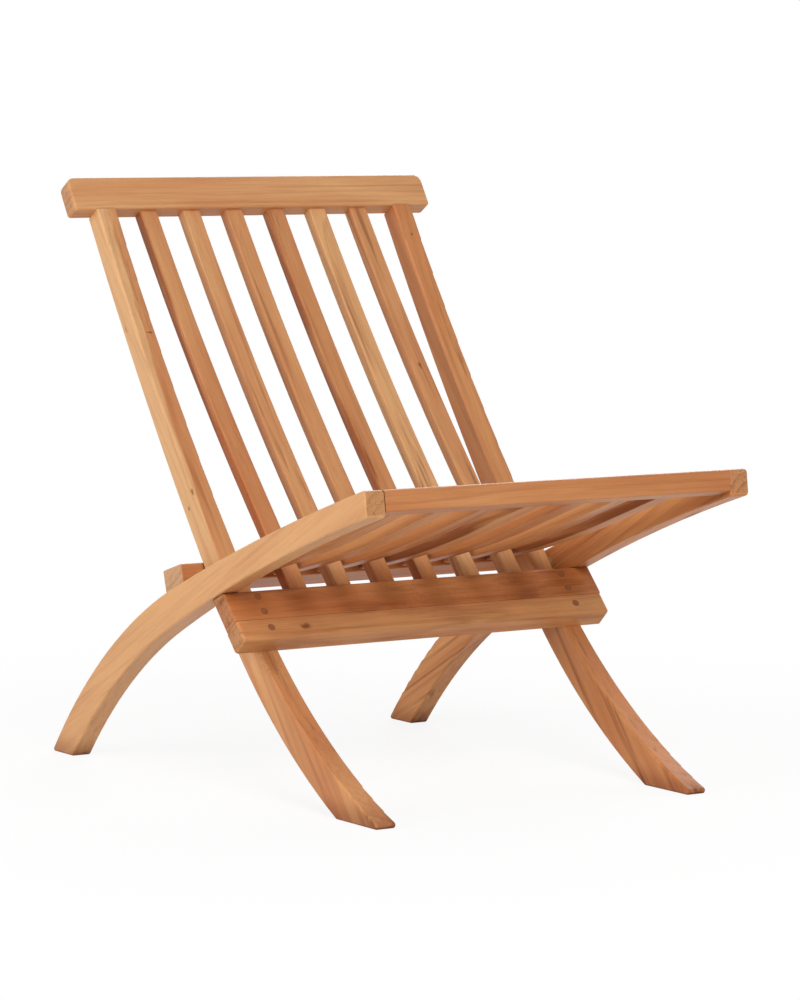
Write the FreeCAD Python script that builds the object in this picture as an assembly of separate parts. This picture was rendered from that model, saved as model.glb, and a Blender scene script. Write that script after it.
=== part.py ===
import FreeCAD, Part
import math
import os

V = FreeCAD.Vector

# A folding teak chair for a patio: a curved back frame and a curved seat frame, crossed and pinned.
# X runs across the chair, -Y is the front and Z is up. Left and right are the sitter's, so left is +X.
# Side profiles are drawn as (y, z) from the pivot, and the finished pieces are moved to the floor.

# Widths across the chair
SEAT_FRAME_WIDTH = 570.0
RAIL_THICKNESS = 28.5
SIDE_GAP = 8.5
STILE_THICKNESS = 29.0
SLAT_WIDTH = 27.0
BACK_SLAT_COUNT = 6

# How far the ends of the crosswise pieces stand in from the outsides of the seat rails
TOP_RAIL_INSET = 4.5
CROSSBAR_INSET = 4.5
REAR_BAR_INSET = 5.5

# Height of the pivot above the floor
PIVOT_HEIGHT = 258.5

# The curved edges start at a point with a slope in degrees and go on as tangent pieces, each with a
# length and a radius. The radius is 0 where a piece is straight and minus where it turns upwards.

# Back stile with its front leg, from the top rail down to the toe
STILE_FRONT_START = (326.0, 475.0)
STILE_FRONT_SLOPE = 58.2
STILE_FRONT_ARCS = ((613.5, 3798.0), (455.0, 872.0))
STILE_REAR_START = (363.5, 480.0)
STILE_REAR_SLOPE = 58.7
STILE_REAR_ARCS = ((623.5, 4841.0), (402.0, 873.0))
TOE_RADIUS = 4.0

# Seat rail with its rear leg, from the front end down to the heel
RAIL_TOP_START = (-412.0, 162.0)
RAIL_TOP_SLOPE = 16.2
RAIL_TOP_ARCS = ((494.5, 4762.0), (459.0, 831.0))
RAIL_BOTTOM_START = (-410.0, 125.7)
RAIL_BOTTOM_SLOPE = 16.0
RAIL_BOTTOM_ARCS = ((530.5, 3092.0), (340.0, 791.0))
RAIL_REACH = 400.5
RAIL_END_LEAN = 7.0
RAIL_END_RADIUS = 6.0
HEEL_RADIUS = 3.5

# Top rail
TOP_RAIL_HEIGHT = 49.0
TOP_RAIL_DEPTH = 27.0
TOP_RAIL_LEAN = 32.0
TOP_RAIL_CORNER = 12.0
TOP_RAIL_EDGE_RADIUS = 4.0

# Front crossbar, two boards on the front edges of the stiles
CROSSBAR_THICKNESS = 28.0
UPPER_BOARD_WIDTH = 44.0
LOWER_BOARD_WIDTH = 30.5
CROSSBAR_TOP_DROP = 15.5
CROSSBAR_HOUSING = 1.0
BOARD_NOSE_RADIUS = 5.0
BOARD_CORNER_RADIUS = 4.0

# Seat front rail, and the rear bar, whose underside is bevelled to sit on the seat rails
FRONT_RAIL_HEIGHT = 28.0
FRONT_RAIL_DEPTH = 27.0
REAR_BAR_WIDTH = 48.0
REAR_BAR_FRONT_HEIGHT = 26.0
REAR_BAR_SLOPE = 16.5
REAR_BAR_HOUSING = 1.0

# Back slats: their front face starts behind the top rail's and is straight towards the crossbar
BACK_SLAT_DEPTH = 16.5
BACK_SLAT_SETBACK = 8.5
BACK_SLAT_SLOPE = 55.6
BACK_SLAT_ARCS = ((478.0, 3600.0), (150.0, 0.0))

# Seat slats: they start just below the front rail's top and are dished towards the rear bar
SEAT_SLAT_THICKNESS = 18.0
SEAT_SLAT_DROP = 1.0
SEAT_SLAT_SLOPE = 19.3
SEAT_SLAT_ARCS = ((168.0, 0.0), (330.0, -2076.0))

# Rounded edges
EDGE_RADIUS = 3.0
SLAT_EDGE_RADIUS = 2.5
END_EDGE_RADIUS = 1.5

# Tenons
STILE_TENON_LENGTH = 28.0
SLAT_TENON_LENGTH = 18.0
SEAT_TENON_LENGTH = 14.0
TENON_SHOULDER = 4.0
TENON_FIT = 0.1
MORTISE_SPARE = 1.0

# Pivot hardware
PIN_DIAMETER = 10.0
PIN_IN_RAIL = 20.0
PIN_IN_STILE = 20.0
PIN_RUNNING_FIT = 0.05
PIN_END_SPARE = 0.5
PIN_CHAMFER = 0.8
SPACER_DIAMETER = 24.0
SPACER_FACE_GAP = 0.3
STOP_GAP = 0.4

# Screws, plugs and dowels
PLUG_DIAMETER = 9.5
PLUG_LENGTH = 6.0
PLUG_PROUD = 0.2
POCKET_SPARE = 1.0
SCREW_DIAMETER = 4.5
SCREW_HEAD_DIAMETER = 8.4
SCREW_HEAD_HEIGHT = 2.8
SCREW_TIP = 5.0
SCREW_POINT_DIAMETER = 1.0
CROSSBAR_SCREW_LENGTH = 44.0
REAR_BAR_SCREW_LENGTH = 45.0
UPPER_SCREW_OFFSETS = (9.0, 32.0)
LOWER_SCREW_OFFSET = 13.5
REAR_BAR_SCREW_SPREAD = 22.0
DOWEL_DIAMETER = 8.0
DOWEL_LENGTH = 36.0
DOWEL_SPACING = 12.0

# Reach of the half spaces that trim the ends
BIG = 1200.0

# X levels
RAIL_OUTER = SEAT_FRAME_WIDTH / 2
RAIL_INNER = RAIL_OUTER - RAIL_THICKNESS
STILE_OUTER = RAIL_INNER - SIDE_GAP
STILE_INNER = STILE_OUTER - STILE_THICKNESS
RAIL_MIDDLE = (RAIL_OUTER + RAIL_INNER) / 2
STILE_MIDDLE = (STILE_OUTER + STILE_INNER) / 2
TOP_RAIL_END = RAIL_OUTER - TOP_RAIL_INSET
CROSSBAR_END = RAIL_OUTER - CROSSBAR_INSET
REAR_BAR_END = RAIL_OUTER - REAR_BAR_INSET
SLAT_GAP = (2 * STILE_INNER - BACK_SLAT_COUNT * SLAT_WIDTH) / (BACK_SLAT_COUNT + 1)
SLAT_PITCH = SLAT_WIDTH + SLAT_GAP


def at(point, x=0.0):
    """A point of the side profile as a vector."""
    return V(x, point[0], point[1])


def turned(angle):
    """Unit direction in the side view, at an angle up from straight back."""
    return V(0, math.cos(math.radians(angle)), math.sin(math.radians(angle)))


def left_of(direction):
    """The direction a quarter turn up from a direction that runs to the back."""
    return V(0, -direction.z, direction.y)


def arc_chain(start, heading, pieces, aside=0.0):
    """Tangent arcs and straight lengths from a point, as an outline shifted aside to the left."""
    point = start + left_of(turned(heading)) * aside
    edges = []
    for length, radius in pieces:
        if radius:
            turn = math.degrees(length / radius)
            spoke = radius + aside
            centre = point - left_of(turned(heading)) * spoke
            middle = centre + left_of(turned(heading - turn / 2)) * spoke
            heading = heading - turn
            end = centre + left_of(turned(heading)) * spoke
            edges.append(Part.Arc(point, middle, end).toShape())
        else:
            end = point + turned(heading) * length
            edges.append(Part.makeLine(point, end))
        point = end
    return Part.Wire(edges)


def direction_at(wire, point):
    """The direction of a smooth outline at a point on it, towards the back."""
    edge = min(wire.Edges, key=lambda e: e.distToShape(Part.Vertex(point))[0])
    tangent = edge.tangentAt(edge.Curve.parameter(point))
    return tangent if tangent.y > 0 else tangent * -1


def crossing(curve, point, direction):
    """Where a side profile curve crosses a straight line."""
    line = Part.makeLine(point - direction * BIG, point + direction * BIG)
    return curve.distToShape(line)[1][0][0]


def polygon(points):
    """A flat face with straight sides."""
    return Part.Face(Part.makePolygon(points + [points[0]]))


def slab(face, x_low, x_high):
    """A side profile sawn to a thickness between two X levels."""
    sawn = face.copy()
    sawn.translate(V(x_low, 0, 0))
    return sawn.extrude(V(x_high - x_low, 0, 0))


def half_space(point, normal):
    """A block that fills the side of a plane that the normal points away from."""
    along = left_of(normal)
    corners = [
        point - along * BIG,
        point + along * BIG,
        point + along * BIG - normal * BIG,
        point - along * BIG - normal * BIG,
    ]
    return slab(polygon(corners), -BIG, BIG)


def moved(shape, x):
    """A copy of a shape, shifted across the chair."""
    copy = shape.copy()
    copy.translate(V(x, 0, 0))
    return copy


def runs_across(edge):
    """Whether an edge is straight and runs along X."""
    box = edge.BoundBox
    return box.YLength < 0.01 and box.ZLength < 0.01


def near_line(edge, point):
    """Whether an edge along X passes within a small distance of a profile point."""
    middle = edge.CenterOfMass
    return math.hypot(middle.y - point.y, middle.z - point.z) < 0.5


def on_side_faces(edge, x_low, x_high):
    """Whether an edge lies in one of a piece's two side faces."""
    box = edge.BoundBox
    flat = box.XLength < 0.01
    return flat and (abs(box.XMin - x_low) < 0.01 or abs(box.XMin - x_high) < 0.01)


def in_plane(edge, point, normal):
    """Whether both ends and the middle of an edge lie in a plane."""
    places = [vertex.Point for vertex in edge.Vertexes] + [edge.CenterOfMass]
    return all(abs((place - point).dot(normal)) < 0.01 for place in places)


def is_end_corner(edge, point, normal):
    """Whether an edge lies in a plane and in one of a crosswise piece's ends."""
    return in_plane(edge, point, normal) and edge.BoundBox.XLength < 0.01


def round_corners(solid, points, radius):
    """Rounds the edges along X that pass through profile points."""
    edges = [e for e in solid.Edges if runs_across(e) and any(near_line(e, p) for p in points)]
    return solid.makeFillet(radius, edges)


def round_sides(solid, x_low, x_high, radius, shoulders=()):
    """Rounds the outline of both side faces, apart from the edges that lie in a shoulder."""
    edges = [e for e in solid.Edges if on_side_faces(e, x_low, x_high)]
    for point, normal in shoulders:
        edges = [e for e in edges if not in_plane(e, point, normal)]
    return solid.makeFillet(radius, edges)


def bore(position, direction, diameter, depth):
    """A round hole or pin from a position inwards."""
    return Part.makeCylinder(diameter / 2, depth, position, direction)


def wood_screw(position, direction, length):
    """A countersunk screw with its head's top at a position."""
    radius = SCREW_DIAMETER / 2
    shank = Part.makeCylinder(radius, length - SCREW_TIP, position, direction)
    head = Part.makeCone(SCREW_HEAD_DIAMETER / 2, radius, SCREW_HEAD_HEIGHT, position, direction)
    start = position + direction * (length - SCREW_TIP)
    tip = Part.makeCone(radius, SCREW_POINT_DIAMETER / 2, SCREW_TIP, start, direction)
    return shank.fuse([head, tip]).removeSplitter()


def plug(position, direction, length):
    """A turned plug whose end stands slightly proud of the face at a position."""
    start = position - direction * PLUG_PROUD
    return bore(start, direction, PLUG_DIAMETER, length + PLUG_PROUD)


def with_screw(solid, position, direction, length, plug_length):
    """Bores a piece for a plugged screw."""
    mouth = position - direction * POCKET_SPARE
    pocket = bore(mouth, direction, PLUG_DIAMETER, plug_length + POCKET_SPARE)
    screw = wood_screw(position + direction * plug_length, direction, length)
    return solid.cut([pocket, screw])


def ends_of(wire):
    """The two ends of an open outline."""
    points = [vertex.Point for vertex in wire.OrderedVertexes]
    return points[0], points[-1]


def member_blank(near, far, x_low, x_high):
    """A curved member between two edges, with its ends untrimmed."""
    closing = [Part.makeLine(a, b) for a, b in zip(ends_of(near), ends_of(far))]
    face = Part.Face(Part.Wire(Part.sortEdges(near.Edges + far.Edges + closing)[0]))
    return slab(face, x_low, x_high)


def slat_tenon(corner, along, across, depth, length, grow):
    """A slat's tenon, or with some growth its mortise, from the corner of the slat's shoulder."""
    start = corner + across * (TENON_SHOULDER - grow) - along * depth
    width = depth - 2 * TENON_SHOULDER + 2 * grow
    reach = depth + length + (MORTISE_SPARE if grow else 0.0)
    corners = [start, start + across * width]
    corners = corners + [c + along * reach for c in reversed(corners)]
    half = SLAT_WIDTH / 2 - TENON_SHOULDER + grow
    return slab(polygon(corners), -half, half)


def spread(count):
    """X of the middles of some slats, side by side at the common pitch."""
    return [(i - (count - 1) / 2) * SLAT_PITCH for i in range(count)]


# Edges of the two curved members
FLOOR = V(0, 0, -PIVOT_HEIGHT)
UP = V(0, 0, 1)
BACK = V(0, 1, 0)
STILE_FRONT = arc_chain(at(STILE_FRONT_START), STILE_FRONT_SLOPE - 180.0, STILE_FRONT_ARCS)
STILE_REAR = arc_chain(at(STILE_REAR_START), STILE_REAR_SLOPE - 180.0, STILE_REAR_ARCS)
RAIL_TOP = arc_chain(at(RAIL_TOP_START), -RAIL_TOP_SLOPE, RAIL_TOP_ARCS)
RAIL_BOTTOM = arc_chain(at(RAIL_BOTTOM_START), -RAIL_BOTTOM_SLOPE, RAIL_BOTTOM_ARCS)

# Plane of the seat rails' front ends
RAIL_END_UP = turned(90.0 - RAIL_END_LEAN)
RAIL_END_NORMAL = left_of(RAIL_END_UP)
RAIL_END_LOW = crossing(RAIL_BOTTOM, V(0, -RAIL_REACH, 0), UP)
SEAT_CORNER = crossing(RAIL_TOP, RAIL_END_LOW, RAIL_END_UP)
SEAT_ALONG = direction_at(RAIL_TOP, SEAT_CORNER)

# Crossbar: its rear face is let into the stiles' front edges and its top follows the seat rails
BOARDS_WIDTH = UPPER_BOARD_WIDTH + LOWER_BOARD_WIDTH
BAR_SEAT_HIGH = crossing(STILE_FRONT, V(0, 0, -CROSSBAR_TOP_DROP), BACK)
STILE_RUN = direction_at(STILE_FRONT, BAR_SEAT_HIGH)
BAR_SEAT_LOW = crossing(STILE_FRONT, BAR_SEAT_HIGH - STILE_RUN * BOARDS_WIDTH, left_of(STILE_RUN))
CROSSBAR_UP = (BAR_SEAT_HIGH - BAR_SEAT_LOW).normalize()
CROSSBAR_OUT = left_of(CROSSBAR_UP)
CROSSBAR_BACK_POINT = BAR_SEAT_HIGH - CROSSBAR_OUT * CROSSBAR_HOUSING
CROSSBAR_FACE_POINT = CROSSBAR_BACK_POINT + CROSSBAR_OUT * CROSSBAR_THICKNESS
BEVEL_FRONT = crossing(RAIL_BOTTOM, CROSSBAR_FACE_POINT, CROSSBAR_UP)
BEVEL_BACK = crossing(RAIL_BOTTOM, CROSSBAR_BACK_POINT, CROSSBAR_UP)
BEVEL_NORMAL = left_of((BEVEL_BACK - BEVEL_FRONT).normalize())
CROSSBAR_FRONT_TOP = BEVEL_FRONT - BEVEL_NORMAL * STOP_GAP
CROSSBAR_BACK_TOP = BEVEL_BACK - BEVEL_NORMAL * STOP_GAP
CROSSBAR_SEAM = CROSSBAR_FRONT_TOP - CROSSBAR_UP * UPPER_BOARD_WIDTH
CROSSBAR_NOSE = CROSSBAR_FRONT_TOP - CROSSBAR_UP * BOARDS_WIDTH

# Top rail: its front face meets the stiles' front edges
TOP_UP = turned(90.0 - TOP_RAIL_LEAN)
TOP_OUT = left_of(TOP_UP)
TOP_CORNER = at(STILE_FRONT_START)

# Back slats: front and rear faces, and where the front face meets the crossbar's bevel
BACK_SLAT_TOP = TOP_CORNER - TOP_OUT * BACK_SLAT_SETBACK
BACK_SLAT_START = BACK_SLAT_TOP + turned(BACK_SLAT_SLOPE) * BACK_SLAT_DEPTH


def back_slat_face(aside):
    """The front face of a back slat in the side view, or its rear face."""
    heading = BACK_SLAT_SLOPE - 180.0
    return arc_chain(BACK_SLAT_START, heading, BACK_SLAT_ARCS, aside)


BACK_SLAT_FRONT = back_slat_face(0.0)
BACK_SLAT_REAR = back_slat_face(BACK_SLAT_DEPTH)
BACK_SLAT_FOOT = crossing(BACK_SLAT_FRONT, CROSSBAR_FRONT_TOP, CROSSBAR_BACK_TOP - CROSSBAR_FRONT_TOP)
BACK_SLAT_DOWN = direction_at(BACK_SLAT_FRONT, BACK_SLAT_FOOT) * -1

# Seat slats: top and bottom in the side view, led in from within the front rail
FRONT_RAIL_BACK = SEAT_CORNER + SEAT_ALONG * FRONT_RAIL_DEPTH
SLAT_START = FRONT_RAIL_BACK - RAIL_END_UP * SEAT_SLAT_DROP
SLAT_LEAD = SLAT_START - turned(-SEAT_SLAT_SLOPE) * SEAT_SLAT_THICKNESS
SLAT_TOP = arc_chain(SLAT_LEAD, -SEAT_SLAT_SLOPE, SEAT_SLAT_ARCS)
SLAT_BOTTOM = arc_chain(SLAT_LEAD, -SEAT_SLAT_SLOPE, SEAT_SLAT_ARCS, -SEAT_SLAT_THICKNESS)

# Rear bar
REAR_BAR_ALONG = turned(-REAR_BAR_SLOPE)
REAR_BAR_UP = left_of(REAR_BAR_ALONG)


def rear_bar_section():
    """Corners of the rear bar, let into the rails and just behind the stiles, from the low front."""
    low_front = crossing(RAIL_TOP, V(0, REAR_BAR_WIDTH, 0), UP)
    for attempt in range(4):
        base = low_front - REAR_BAR_UP * REAR_BAR_HOUSING
        high_front = base + REAR_BAR_UP * REAR_BAR_FRONT_HEIGHT
        stile = crossing(STILE_REAR, high_front, BACK)
        shift = stile.y + STOP_GAP - high_front.y
        low_front = crossing(RAIL_TOP, low_front + BACK * shift, UP)
    high_back = high_front + REAR_BAR_ALONG * REAR_BAR_WIDTH
    low_back = crossing(RAIL_TOP, high_back, REAR_BAR_UP) - REAR_BAR_UP * REAR_BAR_HOUSING
    return [base, high_front, high_back, low_back]


REAR_BAR = rear_bar_section()
REAR_BAR_MIDDLE = (REAR_BAR[1] + REAR_BAR[2]) / 2
SLAT_END = crossing(SLAT_TOP, REAR_BAR[0], REAR_BAR_UP)


def crossbar_blank():
    """The section of both crossbar boards together, with its bevelled top."""
    corners = [
        CROSSBAR_FRONT_TOP,
        CROSSBAR_NOSE,
        CROSSBAR_NOSE - CROSSBAR_OUT * CROSSBAR_THICKNESS,
        CROSSBAR_BACK_TOP,
    ]
    return slab(polygon(corners), -CROSSBAR_END, CROSSBAR_END)


def crossbar_screw_places(side):
    """Where the crossbar's plugs meet its front face, upper board first."""
    places = [CROSSBAR_FRONT_TOP - CROSSBAR_UP * offset for offset in UPPER_SCREW_OFFSETS]
    places.append(CROSSBAR_SEAM - CROSSBAR_UP * LOWER_SCREW_OFFSET)
    return [V(side * STILE_MIDDLE, p.y, p.z) for p in places]


def crossbar_screws(side):
    """The screws from the crossbar into one stile."""
    inward = CROSSBAR_OUT * -1
    places = crossbar_screw_places(side)
    return [wood_screw(p + inward * PLUG_LENGTH, inward, CROSSBAR_SCREW_LENGTH) for p in places]


def crossbar_boards():
    """The upper and lower boards of the crossbar."""
    inward = CROSSBAR_OUT * -1
    seam_back = CROSSBAR_SEAM + inward * CROSSBAR_THICKNESS
    upper = crossbar_blank().cut(half_space(CROSSBAR_SEAM, CROSSBAR_UP))
    upper_corners = [CROSSBAR_FRONT_TOP, CROSSBAR_BACK_TOP, CROSSBAR_SEAM, seam_back]
    upper = round_corners(upper, upper_corners, END_EDGE_RADIUS)
    upper = round_sides(upper, -CROSSBAR_END, CROSSBAR_END, END_EDGE_RADIUS)
    lower = crossbar_blank().cut(half_space(CROSSBAR_SEAM, CROSSBAR_UP * -1))
    ends = [e for e in lower.Edges if is_end_corner(e, CROSSBAR_NOSE, CROSSBAR_UP)]
    lower = lower.makeFillet(BOARD_CORNER_RADIUS, ends)
    lower = round_corners(lower, [CROSSBAR_NOSE], BOARD_NOSE_RADIUS)
    lower = round_corners(lower, [CROSSBAR_SEAM, seam_back], END_EDGE_RADIUS)
    for side in (-1, 1):
        places = crossbar_screw_places(side)
        for place in places[:-1]:
            upper = with_screw(upper, place, inward, CROSSBAR_SCREW_LENGTH, PLUG_LENGTH)
        lower = with_screw(lower, places[-1], inward, CROSSBAR_SCREW_LENGTH, PLUG_LENGTH)
    for x in spread(BACK_SLAT_COUNT):
        upper = upper.cut(moved(back_slat_foot_tenon(TENON_FIT), x))
    return upper, lower


def crossbar_plugs():
    """The plugs over the crossbar's screws."""
    places = crossbar_screw_places(-1) + crossbar_screw_places(1)
    return [plug(place, CROSSBAR_OUT * -1, PLUG_LENGTH) for place in places]


def stile_tenon(grow, extra):
    """The stile's tenon, or with some growth the mortise for it."""
    width = TOP_RAIL_DEPTH - 2 * TENON_SHOULDER + 2 * grow
    start = TOP_CORNER - TOP_OUT * (TENON_SHOULDER - grow)
    corners = [start, start - TOP_OUT * width]
    corners = corners + [c + TOP_UP * (STILE_TENON_LENGTH + extra) for c in reversed(corners)]
    half = STILE_THICKNESS / 2 - TENON_SHOULDER + grow
    return slab(polygon(corners), -half, half)


def back_stile():
    """A back stile with its front leg, centred on X = 0."""
    low, high = -STILE_THICKNESS / 2, STILE_THICKNESS / 2
    body = member_blank(STILE_FRONT, STILE_REAR, low, high)
    body = body.cut(half_space(FLOOR, UP))
    body = body.cut(half_space(TOP_CORNER, TOP_UP * -1))
    body = round_corners(body, [crossing(STILE_FRONT, FLOOR, BACK)], TOE_RADIUS)
    body = round_corners(body, [crossing(STILE_REAR, FLOOR, BACK)], HEEL_RADIUS)
    body = round_sides(body, low, high, EDGE_RADIUS, [(TOP_CORNER, TOP_UP)])
    body = body.cut(crossbar_blank())
    return body.fuse(stile_tenon(0.0, 0.0))


def pivot_hole(x_start, direction, depth, diameter):
    """A blind hole on the pivot line."""
    return bore(V(x_start, 0, 0), V(direction, 0, 0), diameter, depth)


def placed_stile(side):
    """A stile in its place, bored for its pivot pin and crossbar screws."""
    body = moved(back_stile(), side * STILE_MIDDLE)
    running = PIN_DIAMETER + 2 * PIN_RUNNING_FIT
    body = body.cut(pivot_hole(side * STILE_OUTER, -side, PIN_IN_STILE + PIN_END_SPARE, running))
    return body.cut(crossbar_screws(side))


def back_slat_head_tenon(grow):
    """The tenon of a back slat in the top rail, or its mortise."""
    return slat_tenon(BACK_SLAT_TOP, TOP_UP, TOP_OUT * -1, BACK_SLAT_DEPTH, SLAT_TENON_LENGTH, grow)


def back_slat_foot_tenon(grow):
    """The tenon of a back slat in the crossbar's upper board, or its mortise."""
    across = left_of(BACK_SLAT_DOWN)
    return slat_tenon(BACK_SLAT_FOOT, BACK_SLAT_DOWN, across, BACK_SLAT_DEPTH, SLAT_TENON_LENGTH, grow)


def back_slat():
    """A back slat, centred on X = 0, from the crossbar's bevel up to the top rail."""
    low, high = -SLAT_WIDTH / 2, SLAT_WIDTH / 2
    body = member_blank(BACK_SLAT_FRONT, BACK_SLAT_REAR, low, high)
    body = body.cut(half_space(CROSSBAR_FRONT_TOP, BEVEL_NORMAL))
    body = body.cut(half_space(TOP_CORNER, TOP_UP * -1))
    shoulders = [(TOP_CORNER, TOP_UP), (CROSSBAR_FRONT_TOP, BEVEL_NORMAL)]
    body = round_sides(body, low, high, SLAT_EDGE_RADIUS, shoulders)
    return body.fuse([back_slat_head_tenon(0.0), back_slat_foot_tenon(0.0)])


def top_rail():
    """The top rail, mortised for the stiles and the back slats."""
    front_high = TOP_CORNER + TOP_UP * TOP_RAIL_HEIGHT
    inward = TOP_OUT * -TOP_RAIL_DEPTH
    corners = [TOP_CORNER, front_high, front_high + inward, TOP_CORNER + inward]
    body = slab(polygon(corners), -TOP_RAIL_END, TOP_RAIL_END)
    ends = [e for e in body.Edges if is_end_corner(e, front_high, TOP_UP)]
    body = body.makeFillet(TOP_RAIL_CORNER, ends)
    faces = [(TOP_CORNER, TOP_OUT), (TOP_CORNER + inward, TOP_OUT), (TOP_CORNER, TOP_UP)]
    edges = [e for e in body.Edges if any(in_plane(e, point, normal) for point, normal in faces)]
    body = body.makeFillet(TOP_RAIL_EDGE_RADIUS, edges)
    for side in (-1, 1):
        body = body.cut(moved(stile_tenon(TENON_FIT, MORTISE_SPARE), side * STILE_MIDDLE))
    for x in spread(BACK_SLAT_COUNT):
        body = body.cut(moved(back_slat_head_tenon(TENON_FIT), x))
    return body


def rear_bar_blank():
    """The rear bar before its edges are rounded."""
    return slab(polygon(REAR_BAR), -REAR_BAR_END, REAR_BAR_END)


def seat_rail():
    """A seat rail with its rear leg, centred on X = 0."""
    low, high = -RAIL_THICKNESS / 2, RAIL_THICKNESS / 2
    body = member_blank(RAIL_TOP, RAIL_BOTTOM, low, high)
    body = body.cut(half_space(FLOOR, UP))
    body = body.cut(half_space(RAIL_END_LOW, RAIL_END_NORMAL * -1))
    heels = [crossing(RAIL_TOP, FLOOR, BACK), crossing(RAIL_BOTTOM, FLOOR, BACK)]
    body = round_corners(body, [SEAT_CORNER, RAIL_END_LOW], RAIL_END_RADIUS)
    body = round_corners(body, heels, HEEL_RADIUS)
    return round_sides(body, low, high, EDGE_RADIUS)


def placed_rail(side):
    """A seat rail in its place, notched for the rear bar and bored for its pin, screws and dowels."""
    body = moved(seat_rail(), side * RAIL_MIDDLE).cut(rear_bar_blank())
    body = body.cut(pivot_hole(side * RAIL_INNER, side, PIN_IN_RAIL, PIN_DIAMETER))
    body = body.cut(rear_bar_screws(side))
    return body.cut(front_rail_dowels(side))


def front_rail_dowels(side):
    """The dowels between the seat's front rail and one side rail."""
    middle = SEAT_CORNER + SEAT_ALONG * (FRONT_RAIL_DEPTH / 2) - RAIL_END_UP * (FRONT_RAIL_HEIGHT / 2)
    start = side * RAIL_INNER - DOWEL_LENGTH / 2
    dowels = []
    for shift in (-DOWEL_SPACING / 2, DOWEL_SPACING / 2):
        place = middle + RAIL_END_UP * shift
        dowels.append(bore(V(start, place.y, place.z), V(1, 0, 0), DOWEL_DIAMETER, DOWEL_LENGTH))
    return dowels


def seat_slat_front_tenon(grow):
    """The tenon of a seat slat in the front rail, or its mortise."""
    down = left_of(SEAT_ALONG) * -1
    return slat_tenon(SLAT_START, SEAT_ALONG * -1, down, SEAT_SLAT_THICKNESS, SEAT_TENON_LENGTH, grow)


def seat_slat_rear_tenon(grow):
    """The tenon of a seat slat in the rear bar, or its mortise."""
    down = REAR_BAR_UP * -1
    return slat_tenon(SLAT_END, REAR_BAR_ALONG, down, SEAT_SLAT_THICKNESS, SEAT_TENON_LENGTH, grow)


def front_rail():
    """The seat's front rail, mortised for the seat slats."""
    down = RAIL_END_UP * -FRONT_RAIL_HEIGHT
    corners = [SEAT_CORNER, FRONT_RAIL_BACK, FRONT_RAIL_BACK + down, SEAT_CORNER + down]
    body = slab(polygon(corners), -RAIL_INNER, RAIL_INNER)
    body = round_corners(body, [SEAT_CORNER], RAIL_END_RADIUS)
    body = round_corners(body, corners[1:], END_EDGE_RADIUS)
    for x in spread(BACK_SLAT_COUNT + 1):
        body = body.cut(moved(seat_slat_front_tenon(TENON_FIT), x))
    for side in (-1, 1):
        body = body.cut(front_rail_dowels(side))
    return body


def seat_slat():
    """A seat slat, centred on X = 0, between the front rail and the rear bar."""
    low, high = -SLAT_WIDTH / 2, SLAT_WIDTH / 2
    body = member_blank(SLAT_TOP, SLAT_BOTTOM, low, high)
    body = body.cut(half_space(SLAT_START, RAIL_END_NORMAL * -1))
    body = body.cut(half_space(SLAT_END, REAR_BAR_ALONG * -1))
    shoulders = [(SLAT_START, RAIL_END_NORMAL), (SLAT_END, REAR_BAR_ALONG)]
    body = round_sides(body, low, high, SLAT_EDGE_RADIUS, shoulders)
    return body.fuse([seat_slat_front_tenon(0.0), seat_slat_rear_tenon(0.0)])


def rear_bar_screw_places(side):
    """Where the rear bar's plugs meet its top, over one rail."""
    shifts = (-REAR_BAR_SCREW_SPREAD / 2, REAR_BAR_SCREW_SPREAD / 2)
    places = [REAR_BAR_MIDDLE + REAR_BAR_ALONG * shift for shift in shifts]
    return [V(side * RAIL_MIDDLE, p.y, p.z) for p in places]


def rear_bar_screws(side):
    """The screws from the rear bar into one rail."""
    down = REAR_BAR_UP * -1
    places = rear_bar_screw_places(side)
    return [wood_screw(p + down * PLUG_LENGTH, down, REAR_BAR_SCREW_LENGTH) for p in places]


def rear_bar():
    """The rear bar, bored for its own screws and mortised for the seat slats."""
    body = round_corners(rear_bar_blank(), REAR_BAR, SLAT_EDGE_RADIUS)
    body = round_sides(body, -REAR_BAR_END, REAR_BAR_END, END_EDGE_RADIUS)
    for side in (-1, 1):
        for place in rear_bar_screw_places(side):
            body = with_screw(body, place, REAR_BAR_UP * -1, REAR_BAR_SCREW_LENGTH, PLUG_LENGTH)
    for x in spread(BACK_SLAT_COUNT + 1):
        body = body.cut(moved(seat_slat_rear_tenon(TENON_FIT), x))
    return body


def seat_plugs():
    """The plugs over the rear bar's screws."""
    places = rear_bar_screw_places(-1) + rear_bar_screw_places(1)
    return [plug(place, REAR_BAR_UP * -1, PLUG_LENGTH) for place in places]


def pivot_pin(side):
    """A pivot pin, pressed into the rail and free to turn in the stile."""
    length = PIN_IN_RAIL + SIDE_GAP + PIN_IN_STILE
    pin = bore(V(side * (RAIL_INNER + PIN_IN_RAIL), 0, 0), V(-side, 0, 0), PIN_DIAMETER, length)
    return pin.makeChamfer(PIN_CHAMFER, [e for e in pin.Edges if e.Closed])


def pivot_spacer(side):
    """The washer on a pivot pin, between the rail and the stile."""
    inward = V(-side, 0, 0)
    start = V(side * RAIL_INNER, 0, 0)
    thickness = SIDE_GAP - SPACER_FACE_GAP
    ring = bore(start, inward, SPACER_DIAMETER, thickness)
    return ring.cut(bore(start, inward, PIN_DIAMETER + 2 * PIN_RUNNING_FIT, thickness))


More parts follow.
